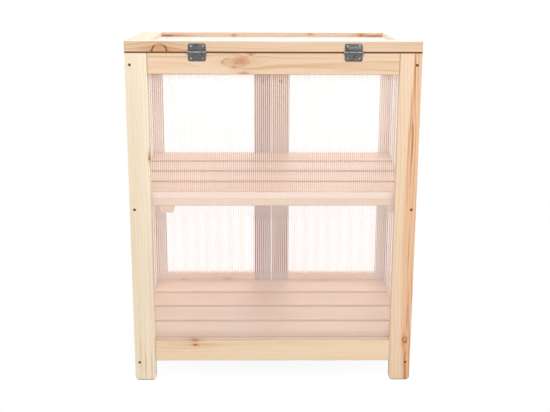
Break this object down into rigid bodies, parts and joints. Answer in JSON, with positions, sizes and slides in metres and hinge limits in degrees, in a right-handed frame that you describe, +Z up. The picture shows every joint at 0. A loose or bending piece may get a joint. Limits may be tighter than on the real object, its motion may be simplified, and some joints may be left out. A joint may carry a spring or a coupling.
{
  "type": "wooden mini greenhouse",
  "caption": "Small upright wooden greenhouse cabinet with fluted clear panes, a slatted shelf and floor, a hinged sloping lid and a pair of hinged front doors.",
  "frame": {"origin": "on the ground, under the middle of the whole object's bounding box", "axes": "+Z up, +Y from the hinged rear frame towards the doors, +X to the right seen from the rear"},
  "size_m": [0.6126, 0.4192, 0.7428],
  "materials": {
    "frame_pine": "planed, clear satin stain",
    "slat_pine": "planed, clear satin stain",
    "knob_beech": "turned, satin lacquer",
    "clear_fluted_sheet": "clear, fine upright flutes",
    "zinc_hinge": "dull zinc plate",
    "bright_screw": "bright zinc plate",
    "dark_screw": "dark oxide",
    "catch_plastic": "matt brown"
  },
  "bodies": {
    "cabinet": {"back_bottom_rail": "frame_pine", "back_frame_screws": "dark_screw", "back_left_post": "frame_pine", "back_pane": "clear_fluted_sheet", "back_right_post": "frame_pine", "back_top_rail": "frame_pine", "door_catch": "catch_plastic", "floor_slat_1": "slat_pine", "floor_slat_2": "slat_pine", "floor_slat_3": "slat_pine", "floor_slat_4": "slat_pine", "front_bottom_rail": "frame_pine", "front_top_rail": "frame_pine", "hinge_fixed_leaves": "zinc_hinge", "hinge_fixed_screws": "bright_screw", "hinge_pins": "zinc_hinge", "left_bottom_rail": "frame_pine", "left_front_stile": "frame_pine", "left_pane": "clear_fluted_sheet", "left_rear_stile": "frame_pine", "left_top_rail": "frame_pine", "right_bottom_rail": "frame_pine", "right_front_stile": "frame_pine", "right_pane": "clear_fluted_sheet", "right_rear_stile": "frame_pine", "right_top_rail": "frame_pine", "shelf_battens": "slat_pine", "shelf_rear_rail": "slat_pine", "shelf_slat_1": "slat_pine", "shelf_slat_2": "slat_pine", "shelf_slat_3": "slat_pine", "shelf_slat_4": "slat_pine", "slat_cleats": "slat_pine"},
    "lid": {"lid_back_rail": "frame_pine", "lid_front_rail": "frame_pine", "lid_hinge_leaves": "zinc_hinge", "lid_hinge_screws": "bright_screw", "lid_left_rail": "frame_pine", "lid_pane": "clear_fluted_sheet", "lid_right_rail": "frame_pine"},
    "left_door": {"left_door_bottom_rail": "frame_pine", "left_door_hinge_leaves": "zinc_hinge", "left_door_hinge_screws": "bright_screw", "left_door_inner_stile": "frame_pine", "left_door_knob": "knob_beech", "left_door_knob_screw": "dark_screw", "left_door_outer_stile": "frame_pine", "left_door_pane": "clear_fluted_sheet", "left_door_strike": "bright_screw", "left_door_top_rail": "frame_pine"},
    "right_door": {"right_door_bottom_rail": "frame_pine", "right_door_hinge_leaves": "zinc_hinge", "right_door_hinge_screws": "bright_screw", "right_door_inner_stile": "frame_pine", "right_door_knob": "knob_beech", "right_door_knob_screw": "dark_screw", "right_door_outer_stile": "frame_pine", "right_door_pane": "clear_fluted_sheet", "right_door_strike": "bright_screw", "right_door_top_rail": "frame_pine"}
  },
  "joints": [
    {"name": "lid_hinge", "type": "hinge", "parent": "cabinet", "child": "lid", "pos_m": [0, -0.20665, 0.72075], "axis": [1, 0, 0], "range_deg": [0, 175]},
    {"name": "left_door_hinge", "type": "hinge", "parent": "cabinet", "child": "left_door", "pos_m": [-0.3033, 0.16715, 0.376], "axis": [0, 0, 1], "range_deg": [0, 175]},
    {"name": "right_door_hinge", "type": "hinge", "parent": "cabinet", "child": "right_door", "pos_m": [0.3033, 0.16715, 0.376], "axis": [0, 0, -1], "range_deg": [0, 175]}
  ]
}
